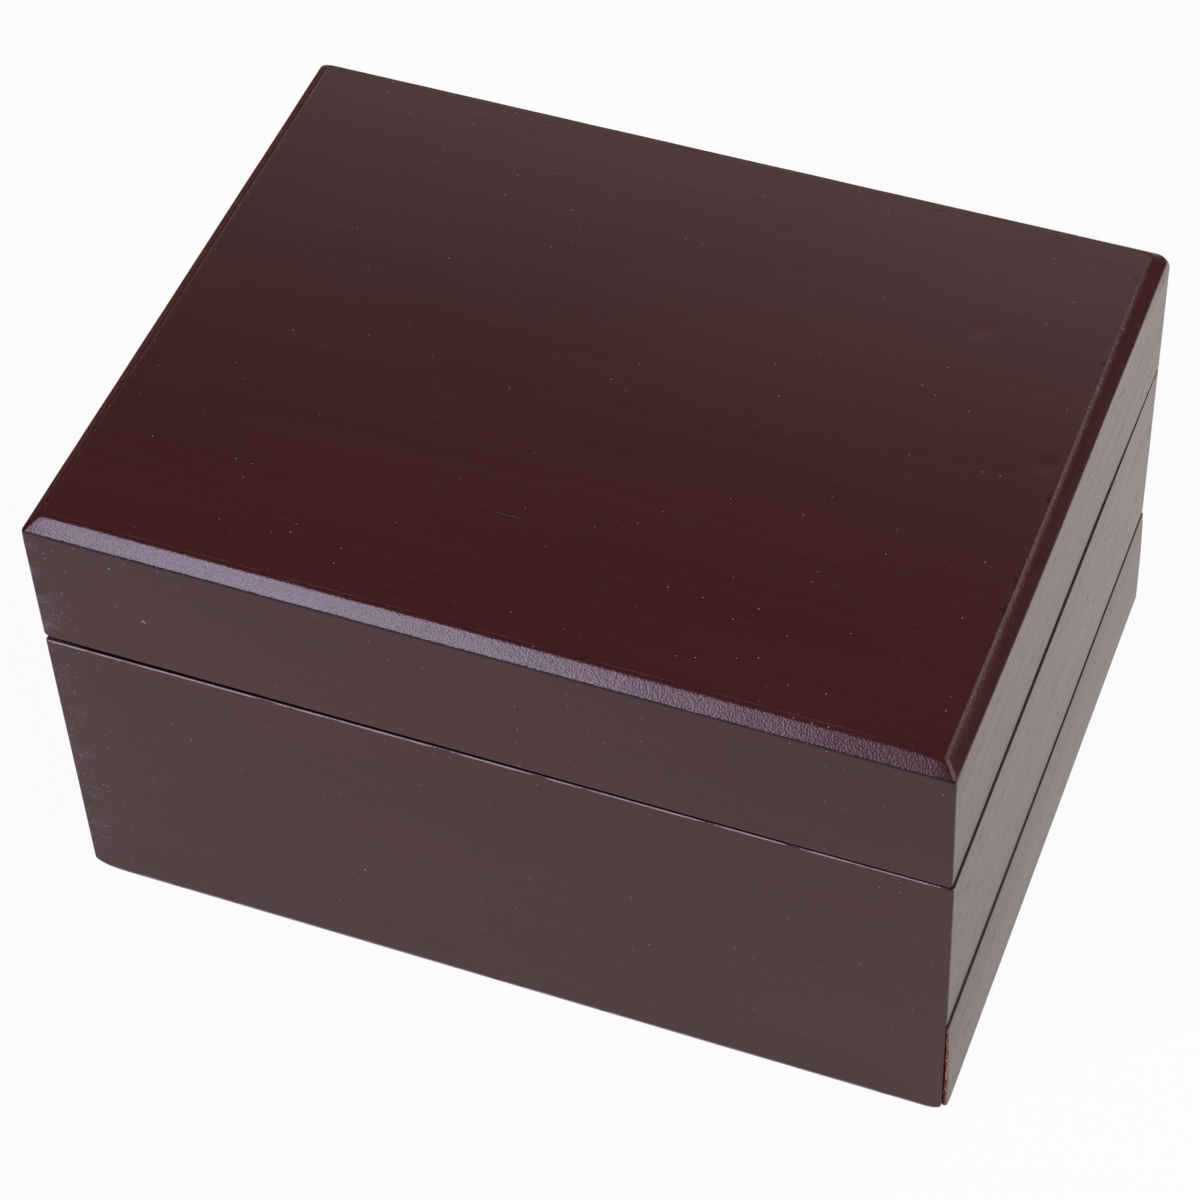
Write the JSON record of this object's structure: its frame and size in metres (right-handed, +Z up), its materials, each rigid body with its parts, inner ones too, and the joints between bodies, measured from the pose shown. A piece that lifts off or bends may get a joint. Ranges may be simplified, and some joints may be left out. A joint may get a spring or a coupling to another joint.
{
  "type": "donation box",
  "caption": "Dark stained wooden box with mitred corners, a bevelled lid hinged along the back, a slotted floor under the lid and a flush drawer in one end that catches what is dropped through.",
  "frame": {"origin": "middle of the footprint of the closed box, on the surface that it stands on", "axes": "+Z up, +X towards the end with the drawer, -Y towards the front, hinges on the +Y side"},
  "size_m": [0.2612, 0.2013, 0.15],
  "materials": {
    "stained_wood": "dark red-brown stain under a satin lacquer",
    "plain_wood": "planed and unstained",
    "brass": "satin, slightly tarnished",
    "pin_steel": "drawn wire"
  },
  "bodies": {
    "case": {"front_panel": "stained_wood", "back_panel": "stained_wood", "left_panel": "stained_wood", "right_panel": "stained_wood", "bottom_panel": "plain_wood", "compartment_floor": "stained_wood", "hinge_left_body_leaf": "brass", "hinge_right_body_leaf": "brass", "hinge_left_pin": "pin_steel", "hinge_right_pin": "pin_steel", "hinge_body_screws": "brass"},
    "lid": {"lid_top": "stained_wood", "lid_front_rail": "stained_wood", "lid_back_rail": "stained_wood", "lid_left_rail": "stained_wood", "lid_right_rail": "stained_wood", "hinge_left_lid_leaf": "brass", "hinge_right_lid_leaf": "brass", "hinge_lid_screws": "brass"},
    "drawer": {"drawer_front": "stained_wood", "drawer_near_side": "plain_wood", "drawer_far_side": "plain_wood", "drawer_back": "plain_wood", "drawer_bottom": "plain_wood"}
  },
  "joints": [
    {"name": "lid_hinge", "type": "hinge", "parent": "case", "child": "lid", "pos_m": [0, 0.0988, 0.1023], "axis": [-1, 0, 0], "range_deg": [0, 100]},
    {"name": "drawer_slide", "type": "slide", "parent": "case", "child": "drawer", "axis": [1, 0, 0], "range_m": [0, 0.18]}
  ]
}
